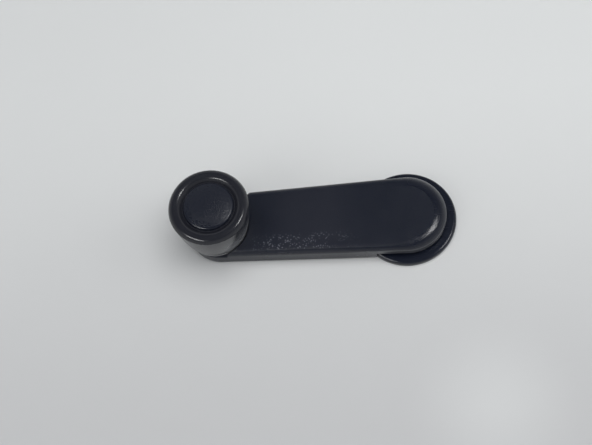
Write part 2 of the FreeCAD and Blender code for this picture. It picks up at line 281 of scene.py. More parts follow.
def new_group(name, inputs, outputs):
    """A shader node group with named inputs and outputs; returns it with both ends' sockets."""
    group = bpy.data.node_groups.new(name, "ShaderNodeTree")
    for label, kind, value in inputs:
        socket = group.interface.new_socket(label, in_out="INPUT", socket_type=kind)
        if value is not None:
            socket.default_value = value
    for label in outputs:
        group.interface.new_socket(label, in_out="OUTPUT", socket_type="NodeSocketFloat")
    return group, group.nodes.new("NodeGroupInput").outputs, group.nodes.new("NodeGroupOutput").inputs


grain_group, given, result = new_group(
    "moulded_grain", [("Place", "NodeSocketVector", None), ("Cell", "NodeSocketFloat", 0.5 * MM)],
    ["Height"])
tree = grain_group
scale = calc(tree, "DIVIDE", 1.0, given["Cell"])
bend = node(tree, "ShaderNodeTexNoise", {"Vector": given["Place"], "Scale": scale, "Detail": 1.0})
bent = node(tree, "ShaderNodeVectorMath", {0: bend.outputs["Color"], 3: GRAIN_BEND},
            operation="SCALE")
moved = node(tree, "ShaderNodeVectorMath", {0: given["Place"], 1: bent.outputs[0]})
cells = node(tree, "ShaderNodeTexVoronoi", {"Vector": moved.outputs[0], "Scale": scale},
             feature="DISTANCE_TO_EDGE")
pads = fade(tree, cells.outputs["Distance"], 0.0, PAD_EDGE)
uneven = noise(tree, given["Place"], product(tree, scale, 0.6), 2.0)
tree.links.new(calc(tree, "ADD", product(tree, pads, 0.7), product(tree, uneven, 0.5)),
               result["Height"])
print(grain_group.name, len(tree.nodes), "nodes")

# %% [markdown]
# ## Which faces look upwards
# The grain lies on the top faces, and the walls are smooth, because the etched half of the mould
# made only the top. The faces could be picked by hand into two materials. A mask from the surface's
# own direction does it without a line between them: the grain thins out as the edge rolls over.

# %% Upward group
upward_group, given, result = new_group("upward_faces", [("Least", "NodeSocketFloat", 0.95)],
                                        ["Mask"])
tree = upward_group
normal = split(tree, node(tree, "ShaderNodeNewGeometry").outputs["Normal"])
rise = calc(tree, "SUBTRACT", normal["Z"], given["Least"])
tree.links.new(fade(tree, rise, 0.0, 0.04), result["Mask"])
print(upward_group.name, len(tree.nodes), "nodes")

# %% [markdown]
# ## Traces of handling
# A handle is touched every day, so its gloss is broken by faint smears, and by fine scratches that
# run mostly one way. Painted dirt would need an image. Two noises are enough: a large calm one for
# the smears, and one stretched to thin streaks for the scratches.

# %% Handling group
handling_group, given, result = new_group("handling", [("Place", "NodeSocketVector", None)],
                                          ["Smear", "Scratch"])
tree = handling_group
tree.links.new(fade(tree, noise(tree, given["Place"], 70.0, 2.0), 0.15, 0.90), result["Smear"])
streaks = node(tree, "ShaderNodeMapping", {"Vector": given["Place"], "Rotation": (0.0, 0.0, 0.5),
                                           "Scale": (140.0, 2600.0, 900.0)})
tree.links.new(fade(tree, noise(tree, streaks.outputs[0], 1.0, 1.0), 0.66, 0.72),
               result["Scratch"])
print(handling_group.name, len(tree.nodes), "nodes")

# %% [markdown]
# ## Navy-black plastic
# All plastic pieces share one recipe: navy-black all through, with a gloss that handling has dulled
# in patches. One material on everything would be simpler, but the pieces differ: the arm and the
# cap are grained, the arm and the knob carry painted reflections and highlights, and the escutcheon
# is plain. So a function makes the common ground, and each piece adds to it what it has of grain,
# wear and painted light.

# %% Plastic recipe
NAVY = (0.0065, 0.0090, 0.0180, 1)
NAVY_WORN = (0.0100, 0.0125, 0.0225, 1)
SCRATCH_DULLING = 0.06


def grouped(tree, group, inputs):
    """The outputs of a group placed in a material."""
    return node(tree, "ShaderNodeGroup", inputs, node_tree=group).outputs


def wire_into(shader, name):
    """The wire that already reaches an input of the shader."""
    return shader.inputs[name].links[0].from_socket


def change_gloss(tree, shader, operation, amount):
    """Add to the roughness that already reaches the shader, or take from it."""
    changed = calc(tree, operation, wire_into(shader, "Roughness"), amount)
    tree.links.new(changed, shader.inputs["Roughness"])


def dark_plastic(name, smooth, dull, colour=NAVY, worn=NAVY_WORN):
    """Navy-black moulded plastic: its roughness lies between smooth and dull."""
    made, tree, shader, place = new_material(name, IOR=1.5)
    marks = grouped(tree, handling_group, {"Place": place})
    tree.links.new(blend_colour(tree, marks["Smear"], colour, worn), shader.inputs["Base Color"])
    gloss = calc(tree, "ADD", product(tree, marks["Smear"], dull - smooth), smooth)
    gloss = calc(tree, "ADD", gloss, product(tree, marks["Scratch"], SCRATCH_DULLING))
    tree.links.new(gloss, shader.inputs["Roughness"])
    return made, tree, shader, place


# %% [markdown]
# The grain is added to a finish as a second step, because not every piece has it. It does two
# things at once: the cells tilt the light, and the top gets a duller gloss than the smooth walls.
# An input called worn takes the grain away again where hands have polished it.

# %% Grain on a plastic
def add_grain(tree, shader, place, cell, depth, least, dulling, crown=None, worn=0.0):
    """Etched grain on the faces that look upwards, as bump and as a duller gloss."""
    mask = grouped(tree, upward_group, {"Least": least})["Mask"]
    height = grouped(tree, grain_group, {"Place": place, "Cell": cell})["Height"]
    left = product(tree, mask, calc(tree, "SUBTRACT", 1.0, worn))
    bump = node(tree, "ShaderNodeBump", {"Height": product(tree, height, left),
                                         "Strength": 1.0, "Distance": depth})
    if crown is not None:
        swell = node(tree, "ShaderNodeBump", {"Height": crown, "Strength": 1.0, "Distance": 1.0})
        tree.links.new(swell.outputs["Normal"], bump.inputs["Normal"])
    tree.links.new(bump.outputs["Normal"], shader.inputs["Normal"])
    change_gloss(tree, shader, "ADD", product(tree, mask, dulling))


# %% [markdown]
# ## The arm's finish
# The deck is grained from end to end. Round the hub it isn't quite flat: it falls away a little
# towards the edge, and there the palm has polished it, so the light gathers in a fuzzy crescent.
# The fall could be modelled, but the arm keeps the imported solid's mesh, so it is a second bump
# under the grain, drawn by the distance from the spindle.

# %% Arm's grain and hub
HUB_FLAT, HUB_EDGE, HUB_FALL = 12.7 * MM, 18.6 * MM, 1.6 * MM
POLISH_FROM, POLISH_FULL = 11.8 * MM, 14 * MM

arm_plastic, tree, shader, place = dark_plastic("arm_plastic_navy", smooth=0.22, dull=0.26)
along = split(tree, place)
beyond_hub = calc(tree, "MAXIMUM", along["X"], 0.0)
from_hub = calc(tree, "SQRT", calc(tree, "ADD", product(tree, beyond_hub, beyond_hub),
                                   product(tree, along["Y"], along["Y"])))
hub_share = fade(tree, along["X"], -12 * MM, 13 * MM)
crown = product(tree, fade(tree, from_hub, HUB_FLAT, HUB_EDGE, 0.0, -HUB_FALL), hub_share)
polish = product(tree, fade(tree, from_hub, POLISH_FROM, POLISH_FULL), hub_share)
add_grain(tree, shader, place, cell=0.55 * MM, depth=0.04 * MM, least=0.86, dulling=0.07,
          crown=crown, worn=product(tree, polish, 0.75))
change_gloss(tree, shader, "SUBTRACT", product(tree, polish, 0.08))
print("hub falls", round(HUB_FALL / MM, 2), "mm, between", round(HUB_FLAT / MM, 1), "and",
      round(HUB_EDGE / MM, 1), "mm from the spindle")

# %% [markdown]
# The arm's colour changes along it, too. The middle of the deck is painted a little lighter, as a
# painted reflection. The walls over the escutcheon are painted grey, as a painted reflection of the
# table. Near the edge on the knob's half, points of the grain are painted pale, as painted glints.
# Each of these is a mask along the arm that blends in one more colour, so each can be changed
# without touching the others.

# %% Arm's painted reflections and glints
# Colours of the painted reflections and the painted glints on the arm.
WALL_REFLECTION_GREY = (0.070, 0.072, 0.080, 1)
GLINT_GREY = (0.12, 0.125, 0.15, 1)
REFLECTION_NAVY = (0.0135, 0.0155, 0.0255, 1)
GLINT_CELL = 1 * MM

# Painted reflection: a lighter band of colour in the middle of the deck.
painted_reflection_band = band(tree, along["X"], -70 * MM, -52 * MM, -40 * MM, -18 * MM)
plain = blend_colour(tree, painted_reflection_band, wire_into(shader, "Base Color"), REFLECTION_NAVY)
# Painted reflection of the table: the walls over the escutcheon are painted grey.
side = calc(tree, "SUBTRACT", 1.0, grouped(tree, upward_group, {"Least": 0.30})["Mask"])
over_plate = product(tree, side, fade(tree, along["X"], -34 * MM, -12 * MM))
with_wall_reflection = blend_colour(tree, over_plate, plain, WALL_REFLECTION_GREY)
# Painted glints: pale points of the grain along the near edge on the knob's half.
near_edge = product(tree, fade(tree, along["Y"], -6 * MM, -10 * MM),
                    band(tree, along["X"], -76 * MM, -66 * MM, -40 * MM, -20 * MM))
points = node(tree, "ShaderNodeTexVoronoi", {"Vector": place, "Scale": 1 / GLINT_CELL},
              feature="F1").outputs["Distance"]
painted_glints = product(tree, fade(tree, points, 0.42, 0.20),
                 fade(tree, noise(tree, place, 300.0, 2.0), 0.40, 0.56), near_edge,
                 grouped(tree, upward_group, {"Least": 0.9})["Mask"])
tree.links.new(blend_colour(tree, painted_glints, with_wall_reflection, GLINT_GREY), shader.inputs["Base Color"])
print(arm_plastic.name, len(tree.nodes), "nodes")

# %% [markdown]
# ## The cap's and the escutcheon's finish
# The cap has the coarsest grain, and fingers have dulled it on the side towards the hub. The
# escutcheon is hardly ever touched, so it is the plain recipe and nothing more.

# %% Cap and escutcheon plastic
cap_plastic, tree, shader, place = dark_plastic("cap_plastic_navy", smooth=0.20, dull=0.28)
add_grain(tree, shader, place, cell=0.62 * MM, depth=0.06 * MM, least=0.925, dulling=0.15)
change_gloss(tree, shader, "ADD", fade(tree, split(tree, place)["X"], -87 * MM, -81 * MM, 0.0, 0.12))
escutcheon_plastic = dark_plastic("escutcheon_plastic_navy", smooth=0.18, dull=0.26)[0]
print(cap_plastic.name, "and", escutcheon_plastic.name)

# %% [markdown]
# ## The knob's finish
# The knob is smooth. Low on its neck, on the side towards the hub and the viewer, it is painted
# pale grey as a painted reflection of the table, and its foot line is painted pale as a painted
# highlight. The painted reflection could go round the whole neck, but the photograph shows it on
# one side. So it is the product of two masks: how low a point lies, and how far it faces that
# side, which is a dot product with one direction.

# %% Knob plastic
KNOB_AXIS = (-90 * MM, 0.0, 0.0)
KNOB_NAVY = (0.0165, 0.0175, 0.0235, 1)
KNOB_WORN = (0.0190, 0.0200, 0.0260, 1)
# Colours of the painted reflection on the neck and the painted highlight on the foot line.
NECK_REFLECTION_GREY = (0.27, 0.275, 0.285, 1)
LIP_HIGHLIGHT_GREY = (0.62, 0.625, 0.635, 1)
REFLECTION_TURN = math.radians(-33)
REFLECTION_SIDE = (math.cos(REFLECTION_TURN), math.sin(REFLECTION_TURN), 0.0)


def vector_math(tree, operation, first, second=(0.0, 0.0, 0.0)):
    return node(tree, "ShaderNodeVectorMath", {0: first, 1: second}, operation=operation).outputs


knob_plastic, tree, shader, place = dark_plastic("knob_plastic_navy", smooth=0.17, dull=0.24,
                                                 colour=KNOB_NAVY, worn=KNOB_WORN)
from_axis = vector_math(tree, "SUBTRACT", place, KNOB_AXIS)[0]
outwards = vector_math(tree, "NORMALIZE", vector_math(tree, "MULTIPLY", from_axis, (1, 1, 0))[0])[0]
facing = vector_math(tree, "DOT_PRODUCT", outwards, REFLECTION_SIDE)["Value"]
knob_height = split(tree, place)["Z"]
patchy = fade(tree, noise(tree, place, 160.0, 4.0), 0.2, 0.7, 0.75, 1.0)
# Painted reflection of the table: the lower neck, on one side, is painted grey in patches.
neck_reflection = product(tree, fade(tree, knob_height, 29 * MM, 10 * MM), fade(tree, facing, 0.56, 0.95), patchy)
# Painted highlight: the foot line is painted pale.
lip_highlight = product(tree, fade(tree, knob_height, 10 * MM, 8.2 * MM), fade(tree, facing, -0.9, 0.3))
with_neck_reflection = blend_colour(tree, neck_reflection, wire_into(shader, "Base Color"), NECK_REFLECTION_GREY)
tree.links.new(blend_colour(tree, lip_highlight, with_neck_reflection, LIP_HIGHLIGHT_GREY), shader.inputs["Base Color"])
print(knob_plastic.name, len(tree.nodes), "nodes")

# %% [markdown]
# ## Steel
# The hidden pieces have their own finishes. The socket is sintered steel: grey, slightly porous and
# oiled. The springs are blued by heat. Real metal is never one tone, so one noise moves its colour,
# its roughness and a fine bump together, which reads as one cause: where it is darker it is rougher.

# %% Steel
GLOSS_SPREAD = 0.12


def metal(name, dark, light, roughness, cell, depth):
    """Metal whose tone and roughness follow one noise, with a fine bump."""
    made, tree, shader, place = new_material(name, Metallic=1.0)
    spots = noise(tree, place, 1.0 / cell, 4.0, 0.6)
    tree.links.new(blend_colour(tree, fade(tree, spots, 0.3, 0.7), dark, light),
                   shader.inputs["Base Color"])
    tree.links.new(fade(tree, spots, 0.2, 0.8, roughness + GLOSS_SPREAD, roughness),
                   shader.inputs["Roughness"])
    bump = node(tree, "ShaderNodeBump", {"Height": spots, "Strength": 0.6, "Distance": depth})
    tree.links.new(bump.outputs["Normal"], shader.inputs["Normal"])
    return made, tree, shader, place


sintered_steel = metal("sintered_steel_grey", (0.22, 0.22, 0.225, 1), (0.38, 0.38, 0.39, 1),
                       roughness=0.38, cell=0.3 * MM, depth=0.03 * MM)[0]
spring_steel = metal("spring_steel_blued", (0.10, 0.11, 0.15, 1), (0.24, 0.26, 0.32, 1),
                     roughness=0.24, cell=0.9 * MM, depth=0.004 * MM)[0]
print(sintered_steel.name, "and", spring_steel.name)

# %% [markdown]
# The pin and the rivet washer are turned and zinc plated, and keep the faint rings that a lathe
# leaves. The rings could be cut in the mesh, but they are far too fine. A wave texture in rings
# about the pin's own axis gives them, as a bump in place of the plain metal's.

# %% Turned steel
RING_SCALE = 1600.0

pin_steel, tree, shader, place = metal("pin_steel_zinc", (0.42, 0.42, 0.42, 1), (0.60, 0.60, 0.61, 1),
                                       roughness=0.26, cell=1.5 * MM, depth=0.003 * MM)
centred = node(tree, "ShaderNodeMapping", {"Vector": place, "Location": (-KNOB_AXIS[0], 0.0, 0.0)})
rings = node(tree, "ShaderNodeTexWave", {"Vector": centred.outputs[0], "Scale": RING_SCALE,
                                         "Distortion": 0.6}, wave_type="RINGS", rings_direction="Z")
bump = node(tree, "ShaderNodeBump", {"Height": rings.outputs["Fac"], "Strength": 0.5,
                                     "Distance": 0.004 * MM})
tree.links.new(bump.outputs["Normal"], shader.inputs["Normal"])
print(pin_steel.name, "with rings about x =", round(KNOB_AXIS[0] / MM, 1), "mm")

# %% [markdown]
# ## Pale engineering plastics
# The bush and the thrust washer are made to run without grease, of acetal and nylon. These are
# waxy: light goes a little way in. A plain pale colour would look like paint, so they get a little
# subsurface light and a faint blotch.

# %% Bush and washer plastic
def pale_plastic(name, colour, shade, roughness):
    """Pale engineering plastic: waxy, faintly blotched."""
    made, tree, shader, place = new_material(name, Subsurface_Weight=0.15, Subsurface_Scale=1 * MM)
    blotch = fade(tree, noise(tree, place, 350.0, 3.0), 0.3, 0.7)
    tree.links.new(blend_colour(tree, blotch, colour, shade), shader.inputs["Base Color"])
    tree.links.new(fade(tree, blotch, 0.0, 1.0, roughness, roughness + 0.1),
                   shader.inputs["Roughness"])
    return made


bush_plastic = pale_plastic("bush_plastic_acetal", (0.70, 0.69, 0.64, 1), (0.64, 0.63, 0.57, 1), 0.32)
washer_plastic = pale_plastic("washer_plastic_nylon", (0.62, 0.62, 0.60, 1), (0.56, 0.56, 0.53, 1),
                              0.42)
print(bush_plastic.name, "and", washer_plastic.name)

# %% [markdown]
# ## Pieces that follow a rule
# Several pieces are remade with Geometry Nodes, because each follows a plain rule. The knob, its
# cap and the escutcheon are turned shapes: a section drawn once and carried round an axis. The
# clip, the cap's fingers and the knob's webs are bars that follow a path. A Screw or Curve modifier
# could do some of it, but a node tree is a recipe with named inputs that serves them all.

# %% Recipe helpers
def new_recipe(name, inputs):
    """A Geometry Nodes tree with named inputs; returns it with both ends' sockets."""
    tree = bpy.data.node_groups.new(name, "GeometryNodeTree")
    tree.interface.new_socket("Geometry", in_out="INPUT", socket_type="NodeSocketGeometry")
    for label, kind in inputs:
        tree.interface.new_socket(label, in_out="INPUT", socket_type=kind)
    tree.interface.new_socket("Geometry", in_out="OUTPUT", socket_type="NodeSocketGeometry")
    return tree, tree.nodes.new("NodeGroupInput").outputs, tree.nodes.new("NodeGroupOutput").inputs


def finish_recipe(tree, result, shape, finish):
    """Every recipe ends the same way: real geometry, in its finish."""
    real = node(tree, "GeometryNodeRealizeInstances", {0: shape}).outputs[0]
    tree.links.new(node(tree, "GeometryNodeSetMaterial", {0: real, "Material": finish}).outputs[0],
                   result[0])
    print(tree.name, len(tree.nodes), "nodes")


# %% [markdown]
# A recipe needs something to read: a start mesh of bare edges, one run of them for each line of
# points. And where a turned surface meets itself, its points have to be merged and its faces turned
# outwards. A count of open edges then shows whether the piece is closed: it should be 0.

# %% Start and seams
SEAM_REACH = 0.002 * MM


def bare_lines(name, lines):
    """A start object of bare edges, one run of them for each line of points."""
    points, edges = [], []
    for line in lines:
        first = len(points)
        points += line
        edges += [(i, i + 1) for i in range(first, len(points) - 1)]
    mesh = bpy.data.meshes.new(name + "_line")
    mesh.from_pydata(points, edges, [])
    start = bpy.data.objects.new(name + "_line", mesh)
    scene.collection.objects.link(start)
    return start


def close_seams(mesh):
    """Merge the points that meet, turn the faces outwards and count the edges left open."""
    shaper = bmesh.new()
    shaper.from_mesh(mesh)
    bmesh.ops.remove_doubles(shaper, verts=shaper.verts, dist=SEAM_REACH)
    bmesh.ops.recalc_face_normals(shaper, faces=shaper.faces)
    open_edges = sum(1 for edge in shaper.edges if len(edge.link_faces) != 2)
    shaper.to_mesh(mesh)
    shaper.free()
    return open_edges


# %% [markdown]
# The recipe runs as a modifier on the start. It could stay on the piece, live, but the model is
# kept as plain meshes, so the result is read from the evaluated object, and the start goes with its
# modifier. Smooth shading is broken only where two faces meet at a sharp angle.

# %% Following a recipe
SHARP_ANGLE = math.radians(35)


def follow_recipe(name, lines, tree, values):
    """Run a recipe on lines of points and keep the result as a plain mesh at the origin."""
    start = bare_lines(name, lines)
    recipe = start.modifiers.new("recipe", "NODES")
    recipe.node_group = tree
    for item in tree.interface.items_tree:
        if item.in_out == "INPUT" and item.name in values:
            recipe[item.identifier] = values[item.name]
    evaluated = start.evaluated_get(bpy.context.evaluated_depsgraph_get())
    mesh = bpy.data.meshes.new_from_object(evaluated)
    mesh.name = name
    open_edges = close_seams(mesh)
    mesh.shade_smooth()
    mesh.set_sharp_from_angle(angle=SHARP_ANGLE)
    made = bpy.data.objects.new(name, mesh)
    scene.collection.objects.link(made)
    bpy.data.objects.remove(start)
    low = [round(min(v.co[i] for v in mesh.vertices) / MM, 2) for i in range(3)]
    high = [round(max(v.co[i] for v in mesh.vertices) / MM, 2) for i in range(3)]
    print(name, "faces", len(mesh.polygons), "open edges", open_edges, "from", low, "to", high)
    return made


# %% [markdown]
# ## Drawing a section
# A section is drawn as a turner would, in millimetres of radius and height, from point to point
# with arcs for its roundings. Long lines are split, so that the turned faces stay small enough for
# smooth shading. An arc is given by its centre and angles, or by three points that it passes.

# %% Section helpers
def section(points, step=1.2):
    """A section in mm, with long lines split, as points in the upright plane."""
    made = [points[0]]
    for (r0, z0), (r1, z1) in zip(points, points[1:]):
        parts = max(1, math.ceil(math.hypot(r1 - r0, z1 - z0) / step))
        made += [(r0 + (r1 - r0) * i / parts, z0 + (z1 - z0) * i / parts)
                 for i in range(1, parts + 1)]
    return [(r * MM, 0.0, z * MM) for r, z in made]


def round_corner(center_r, center_z, radius, start, end, steps=8):
    """Points of an arc of a section, from one angle to another in degrees."""
    angles = [math.radians(start + (end - start) * i / steps) for i in range(steps + 1)]
    return [(center_r + radius * math.cos(a), center_z + radius * math.sin(a)) for a in angles]


def arc_through(start, middle, end, steps):
    """Points of the arc through three points of a section."""
    (ax, ay), (bx, by), (cx, cy) = start, middle, end
    d = 2 * (ax * (by - cy) + bx * (cy - ay) + cx * (ay - by))
    a2, b2, c2 = ax * ax + ay * ay, bx * bx + by * by, cx * cx + cy * cy
    r = (a2 * (by - cy) + b2 * (cy - ay) + c2 * (ay - by)) / d
    z = (a2 * (cx - bx) + b2 * (ax - cx) + c2 * (bx - ax)) / d
    angles = [math.degrees(math.atan2(y - z, x - r)) for x, y in (start, end)]
    return round_corner(r, z, math.hypot(ax - r, ay - z), angles[0], angles[1], steps)


# %% [markdown]
# ## The turning recipe
# The tree lays out a flat grid, reads one side of it as the way round and the other as the row of
# the section, and moves each point to its place. Sampling the section's own points by their index
# keeps its sharp corners, where sampling a curve by its length would cut them.

# %% Turning recipe
turning, given, result = new_recipe("turned_piece", [
    ("Steps round", "NodeSocketInt"), ("Rows", "NodeSocketInt"), ("Axis x", "NodeSocketFloat"),
    ("Relief depth", "NodeSocketFloat"), ("Relief cell", "NodeSocketFloat"),
    ("Relief above", "NodeSocketFloat"), ("Relief within", "NodeSocketFloat"),
    ("Finish", "NodeSocketMaterial")])
tree = turning
grid = node(tree, "GeometryNodeMeshGrid", {
    "Size X": 1.0, "Size Y": 1.0, "Vertices X": given["Steps round"], "Vertices Y": given["Rows"]})
spot = split(tree, node(tree, "GeometryNodeInputPosition").outputs[0])
turn = product(tree, calc(tree, "ADD", spot["X"], 0.5), 2 * math.pi)
row = product(tree, calc(tree, "ADD", spot["Y"], 0.5), calc(tree, "SUBTRACT", given["Rows"], 1.0))
sample = node(tree, "GeometryNodeSampleIndex", {
    "Geometry": given["Geometry"], "Value": node(tree, "GeometryNodeInputPosition").outputs[0],
    "Index": calc(tree, "ROUND", row)}, data_type="FLOAT_VECTOR")
drawn = split(tree, sample.outputs[0])
round_x = product(tree, drawn["X"], calc(tree, "COSINE", turn))
round_y = product(tree, drawn["X"], calc(tree, "SINE", turn))
print(turning.name, "inputs", [name for name in given.keys() if name])

# %% [markdown]
# A coarse grain shows in outline as well as in shading, so it has to be in the mesh. The relief
# inputs lower the faces above a given height, and within a given radius, by a cell pattern. With a
# depth of 0 they do nothing, so one recipe serves smooth and grained pieces.

# %% Relief
RELIEF_RISE, RELIEF_EDGE = 0.2 * MM, 0.6 * MM

flat_place = node(tree, "ShaderNodeCombineXYZ", {0: round_x, 1: round_y}).outputs[0]
pads = node(tree, "ShaderNodeTexVoronoi", {
    "Vector": flat_place, "Scale": calc(tree, "DIVIDE", 1.0, given["Relief cell"])},
    feature="SMOOTH_F1").outputs[0]
above = fade(tree, calc(tree, "SUBTRACT", drawn["Z"], given["Relief above"]), 0.0, RELIEF_RISE)
within = fade(tree, calc(tree, "SUBTRACT", given["Relief within"], drawn["X"]), 0.0, RELIEF_EDGE)
relief = product(tree, pads, product(tree, above, within), given["Relief depth"])
moved = node(tree, "ShaderNodeCombineXYZ", {0: calc(tree, "ADD", round_x, given["Axis x"]),
                                            1: round_y, 2: calc(tree, "SUBTRACT", drawn["Z"], relief)})
turned = node(tree, "GeometryNodeSetPosition", {0: grid.outputs["Mesh"], "Position": moved.outputs[0]})
finish_recipe(tree, result, turned.outputs[0], given["Finish"])

# %% [markdown]
# Each turned piece rides on one body of the handle and takes the place of an imported solid. One
# function says all this, so that no piece can miss a step.

# %% Turned pieces
def turn_piece(name, outline, body, replaced, slot, **values):
    """Turn a section into a piece that rides on a body and takes the place of a solid."""
    points = section(outline)
    values = {key.replace("_", " "): value for key, value in values.items()}
    made = follow_recipe(name, [points], turning, {
        "Rows": len(points), "Relief cell": 1.0, "Relief above": 1.0, "Relief within": 1.0, **values})
    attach(made, body)
    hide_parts(replaced)


# %% [markdown]
# ## The escutcheon
# The escutcheon keeps the hub off the door trim. It is a flat moulded disc with a well rounded
# edge, which carries a thin light line, and a channel underneath that saves material. The packed
# solid has the same section in coarse facets, and a highlight shows each of them. So it is turned
# anew in fine steps.

# %% Escutcheon
PLATE_RADIUS, PLATE_HEIGHT, PLATE_BORE, PLATE_EDGE = 23.1, 3.0, 10.3, 1.5
CHANNEL_ROOF, CHANNEL_IN, CHANNEL_OUT = 1.7, 11.9, 21.1
BREAK, FOOT_BREAK = 0.2, 0.15

plate_line = ([(PLATE_BORE, FOOT_BREAK), (PLATE_BORE, PLATE_HEIGHT - BREAK),
               (PLATE_BORE + BREAK, PLATE_HEIGHT)]
              + round_corner(PLATE_RADIUS - PLATE_EDGE, PLATE_HEIGHT - PLATE_EDGE, PLATE_EDGE,
                             90, 0, 14)
              + round_corner(PLATE_RADIUS - BREAK, BREAK, BREAK, 0, -90, 4)
              + [(CHANNEL_OUT, 0.0), (CHANNEL_OUT, CHANNEL_ROOF), (CHANNEL_IN, CHANNEL_ROOF),
                 (CHANNEL_IN, 0.0), (PLATE_BORE + FOOT_BREAK, 0.0), (PLATE_BORE, FOOT_BREAK)])
turn_piece("escutcheon_plate", plate_line, "escutcheon", "escutcheon", "escutcheon_plastic",
           Steps_round=241, Finish=escutcheon_plastic)

# %% [markdown]
# ## The knob
# The knob's body has a bellied neck, a crisp edge, a fat round rim over it, and a valley with a
# pocket for the cap. Inside it is hollow, with a hub for the bush. Everything but its webs is one
# section. It could be cut short where nobody looks, but a closed piece is sound from all sides. The
# rim's round runs on past its crest and down into the valley, because that inner slope catches one
# of the knob's bright lines.

# %% Knob body
FOOT_RADIUS, FOOT_LOW, FOOT_ROUND = 14.9, 6.7, 0.5
BELLY, SHOULDER = (17.1, 18.0), (18.2, 30.1)
EDGE_UNDER, RIM_EDGE, EDGE_OVER = (18.45, 30.44), (18.54, 30.6), (18.49, 30.72)
RIM_CREST_RADIUS, RIM_HEIGHT, RIM_SECTION = 15.55, 30.0, 3.0
RIM_FROM, RIM_TO = 38, 134
VALLEY_RADIUS, VALLEY_HEIGHT, VALLEY_BREAK = 12.45, 31.0, 0.1
POCKET_RADIUS, POCKET_FOOT = 10.6, 26.35
KNOB_WALL, KNOB_FLOOR, KNOB_HUB_RADIUS, KNOB_HUB_TOP = 2.0, 9.1, 7.2, 23.75
BUSH_BORE, FLANGE_POCKET, WASHER_POCKET = 5.0, (6.7, 8.1), (8.3, 7.1)

neck = round_corner(FOOT_RADIUS - FOOT_ROUND, FOOT_LOW + FOOT_ROUND, FOOT_ROUND, -90, 0)
neck += arc_through((FOOT_RADIUS, FOOT_LOW + FOOT_ROUND), BELLY, SHOULDER, 24)[1:]
rim = [EDGE_UNDER, RIM_EDGE, EDGE_OVER] + round_corner(
    RIM_CREST_RADIUS, RIM_HEIGHT, RIM_SECTION, RIM_FROM, RIM_TO, 32)
valley = [(VALLEY_RADIUS, VALLEY_HEIGHT + VALLEY_BREAK), (VALLEY_RADIUS - VALLEY_BREAK, VALLEY_HEIGHT),
          (POCKET_RADIUS, VALLEY_HEIGHT), (POCKET_RADIUS, POCKET_FOOT)]
hollow = [(BELLY[0] - KNOB_WALL, BELLY[1]), (FOOT_RADIUS - KNOB_WALL, KNOB_FLOOR),
          (KNOB_HUB_RADIUS, KNOB_FLOOR), (KNOB_HUB_RADIUS, KNOB_HUB_TOP), (BUSH_BORE, KNOB_HUB_TOP)]
underside = [(BUSH_BORE, FLANGE_POCKET[1]), FLANGE_POCKET, (FLANGE_POCKET[0], WASHER_POCKET[1]),
             WASHER_POCKET, (WASHER_POCKET[0], FOOT_LOW), (FOOT_RADIUS - FOOT_ROUND, FOOT_LOW)]
turn_piece("knob_body", neck + rim + valley + hollow + underside, "knob", "knob_shell",
           "knob_plastic", Steps_round=289, Finish=knob_plastic, Axis_x=KNOB_AXIS[0])

# %% [markdown]
# ## The cap
# The cap is a shallow dome snapped in the knob's head. Its edge is rounded enough to hold a soft
# highlight. A part of a sphere could be cut to size, but turned like the rest it takes its edge and
# its relief from the same recipe. It looks straight at the eye, so its coarse grain is real, about
# a tenth of a millimetre deep, and not only a bump.

# %% Cap dome
CAP_RADIUS, CAP_FOOT, CAP_CROWN, CAP_EDGE = 11.75, 31.0, 34.4, 1.35
CAP_INSIDE, DOME_RADIUS, DOME_CHORD, DOME_STEPS = 30.6, 28.85, 10.91, 52
SKIRT_RADIUS, SKIRT_WALL, SKIRT_FOOT = 10.45, 1.2, 26.5
CAP_BREAK = 0.05

dome = []
for i in range(DOME_STEPS + 1):
    r = DOME_CHORD * i / DOME_STEPS
    dome.append((r, CAP_CROWN - DOME_RADIUS + math.sqrt(DOME_RADIUS ** 2 - r ** 2)))
edge_start = 90 - math.degrees(math.asin(DOME_CHORD / DOME_RADIUS))
edge_height = dome[-1][1] - CAP_EDGE * math.sin(math.radians(edge_start))
cap_line = (dome + round_corner(CAP_RADIUS - CAP_EDGE, edge_height, CAP_EDGE, edge_start, 0, 12)[1:]
            + [(CAP_RADIUS - CAP_BREAK, CAP_FOOT), (SKIRT_RADIUS, CAP_FOOT),
               (SKIRT_RADIUS - SKIRT_WALL, CAP_INSIDE), (0.0, CAP_INSIDE)])
turn_piece("cap_dome", cap_line, "knob", "knob_cap", "cap_plastic", Steps_round=361,
           Finish=cap_plastic, Axis_x=KNOB_AXIS[0], Relief_depth=0.09 * MM, Relief_cell=0.9 * MM,
           Relief_above=32.2 * MM, Relief_within=10.6 * MM)

# %% [markdown]
# ## The sweeping recipe
# Wire, fingers and webs are bars carried along a path. The bar is a rectangle with rounded corners,
# and with corners of half its width it is a round wire. A curve object's own bevel could do it, but
# the tree gives caps, a material and any bar from the same three named sizes. The path's normal is
# held upright, so that a bar doesn't twist on the way.

